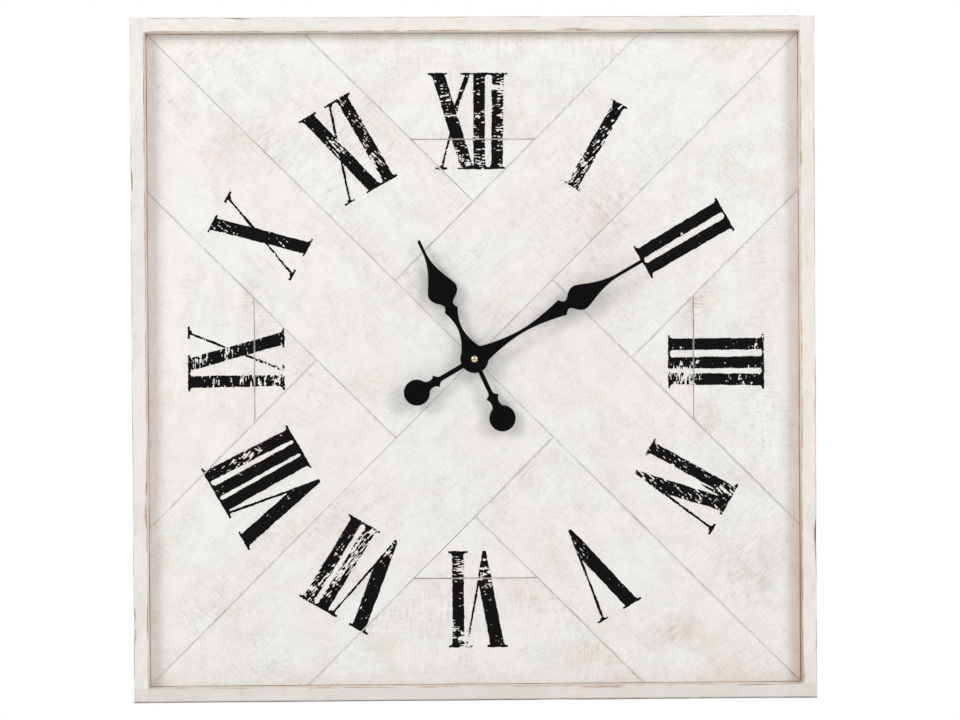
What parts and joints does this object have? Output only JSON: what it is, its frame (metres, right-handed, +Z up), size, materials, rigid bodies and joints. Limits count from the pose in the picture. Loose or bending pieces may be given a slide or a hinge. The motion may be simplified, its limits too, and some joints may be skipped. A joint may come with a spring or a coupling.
{
  "type": "wall clock",
  "caption": "Square wooden wall clock with a framed pinwheel-plank dial, large Roman numerals, black spade hands and a battery quartz movement behind.",
  "frame": {"origin": "the point where the middle of the sawtooth hanger rests on the wall's nail, on the wall's surface, at the clock's centre line", "axes": "+Z up, +Y into the wall, so the dial faces -Y, and +X to the right of someone who reads the clock"},
  "size_m": [0.61, 0.0452, 0.61],
  "materials": {
    "rail_paint": "white paint, rubbed through to brown at the edges",
    "plank_whitewash": "whitewashed rough-sawn planks with brown rub-through",
    "bare_plywood": "unfinished plywood",
    "pine_batten": "unfinished pine",
    "zinc_steel": "zinc plated",
    "clear_rubber": "matt rubber",
    "black_paint": "satin black paint; on the hands and as the stencilled numerals",
    "brass": "polished",
    "black_abs": "moulded ABS, fine matt",
    "white_acetal": "moulded acetal",
    "magnet": "sintered magnet with a moulded pinion",
    "silicon_steel": "stamped silicon steel",
    "enamelled_copper": "enamelled copper wire, wound",
    "circuit_board": "green solder mask",
    "battery_jacket": "plain printed steel jacket, no lettering"
  },
  "bodies": {
    "clock_body": {"frame_rail_top": "rail_paint", "frame_rail_bottom": "rail_paint", "frame_rail_left": "rail_paint", "frame_rail_right": "rail_paint", "plank_long_top": "plank_whitewash", "plank_long_right": "plank_whitewash", "plank_long_bottom": "plank_whitewash", "plank_long_left": "plank_whitewash", "plank_short_top": "plank_whitewash", "plank_short_right": "plank_whitewash", "plank_short_bottom": "plank_whitewash", "plank_short_left": "plank_whitewash", "plank_tip_top": "plank_whitewash", "plank_tip_right": "plank_whitewash", "plank_tip_bottom": "plank_whitewash", "plank_tip_left": "plank_whitewash", "plank_edge_top": "plank_whitewash", "plank_edge_right": "plank_whitewash", "plank_edge_bottom": "plank_whitewash", "plank_edge_left": "plank_whitewash", "corner_brad_top_left": "zinc_steel", "corner_brad_top_right": "zinc_steel", "corner_brad_bottom_left": "zinc_steel", "corner_brad_bottom_right": "zinc_steel", "backer_panel": "bare_plywood", "hanging_batten": "pine_batten", "sawtooth_hanger": "zinc_steel", "hanger_nail_left": "zinc_steel", "hanger_nail_right": "zinc_steel", "wall_bumper_left": "clear_rubber", "wall_bumper_right": "clear_rubber", "movement_case": "black_abs", "movement_cover": "black_abs", "mid_plate": "black_abs", "wheel_bridge": "black_abs", "rubber_gasket": "clear_rubber", "dial_washer": "brass", "hex_nut": "brass", "stator_plate": "silicon_steel", "coil_core": "silicon_steel", "coil_bobbin": "white_acetal", "coil_winding": "enamelled_copper", "circuit_board": "circuit_board", "quartz_crystal": "zinc_steel", "aa_battery": "battery_jacket", "positive_contact": "brass", "negative_contact": "brass"},
    "minute_group": {"minute_hand": "black_paint", "cap_nut": "brass", "minute_arbor": "white_acetal"},
    "hour_group": {"hour_hand": "black_paint", "hour_wheel": "white_acetal"},
    "reversing_wheel": {"minute_wheel": "white_acetal"},
    "setting_shaft": {"setting_knob": "white_acetal"},
    "rotor_shaft": {"rotor": "magnet"},
    "intermediate_shaft": {"intermediate_wheel": "white_acetal"},
    "seconds_shaft": {"seconds_wheel": "white_acetal"},
    "third_shaft": {"third_wheel": "white_acetal"},
    "centre_shaft": {"centre_wheel": "white_acetal"}
  },
  "joints": [
    {"name": "minute_hand_turn", "type": "hinge", "parent": "clock_body", "child": "minute_group", "pos_m": [0, 0, -0.2615], "axis": [0, 1, 0], "continuous": true},
    {"name": "hour_hand_turn", "type": "hinge", "parent": "clock_body", "child": "hour_group", "pos_m": [0, 0, -0.2615], "axis": [0, 1, 0], "continuous": true},
    {"name": "minute_wheel_turn", "type": "hinge", "parent": "clock_body", "child": "reversing_wheel", "pos_m": [-0.00897, 0, -0.26228], "axis": [0, 1, 0], "continuous": true},
    {"name": "setting_knob_turn", "type": "hinge", "parent": "clock_body", "child": "setting_shaft", "pos_m": [-0.01742, 0, -0.26536], "axis": [0, 1, 0], "continuous": true},
    {"name": "rotor_turn", "type": "hinge", "parent": "clock_body", "child": "rotor_shaft", "pos_m": [0.01641, 0, -0.25682], "axis": [0, 1, 0], "continuous": true},
    {"name": "intermediate_wheel_turn", "type": "hinge", "parent": "clock_body", "child": "intermediate_shaft", "pos_m": [0.01221, 0, -0.2641], "axis": [0, 1, 0], "continuous": true},
    {"name": "seconds_wheel_turn", "type": "hinge", "parent": "clock_body", "child": "seconds_shaft", "pos_m": [0, 0, -0.2615], "axis": [0, 1, 0], "continuous": true},
    {"name": "third_wheel_turn", "type": "hinge", "parent": "clock_body", "child": "third_shaft", "pos_m": [-0.00594, 0, -0.25121], "axis": [0, 1, 0], "continuous": true},
    {"name": "centre_wheel_turn", "type": "hinge", "parent": "clock_body", "child": "centre_shaft", "pos_m": [0, 0, -0.2615], "axis": [0, 1, 0], "continuous": true}
  ],
  "couplings": [
    {"joint": "hour_hand_turn", "follows": "minute_hand_turn", "ratio": 0.083333},
    {"joint": "minute_wheel_turn", "follows": "minute_hand_turn", "ratio": -0.33333},
    {"joint": "setting_knob_turn", "follows": "minute_hand_turn", "ratio": 1},
    {"joint": "intermediate_wheel_turn", "follows": "rotor_turn", "ratio": -0.16667},
    {"joint": "seconds_wheel_turn", "follows": "rotor_turn", "ratio": 0.033333},
    {"joint": "third_wheel_turn", "follows": "rotor_turn", "ratio": -0.0044444},
    {"joint": "centre_wheel_turn", "follows": "rotor_turn", "ratio": 0.00055556}
  ]
}
